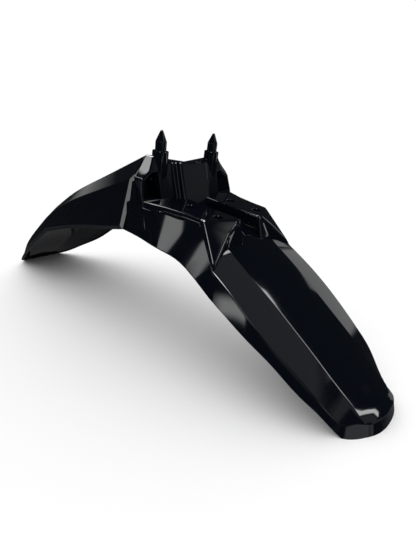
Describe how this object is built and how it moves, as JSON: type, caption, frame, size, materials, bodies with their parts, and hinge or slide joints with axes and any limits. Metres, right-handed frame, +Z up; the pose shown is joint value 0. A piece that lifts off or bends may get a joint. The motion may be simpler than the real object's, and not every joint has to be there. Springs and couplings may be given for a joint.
{
  "type": "motorcycle front mudguard",
  "caption": "One-piece moulded front mudguard with a long creased nose, a drop tail, a drilled mounting deck and two locating pegs.",
  "frame": {"origin": "centre of the bounding box in plan, on the floor that the nose and tail rest on", "axes": "+X towards the nose, +Y to the rider's left, +Z up"},
  "size_m": [0.7786, 0.164, 0.2587],
  "materials": {
    "shell": "gloss"
  },
  "bodies": {
    "root": {"mudguard": "shell"}
  },
  "joints": []
}
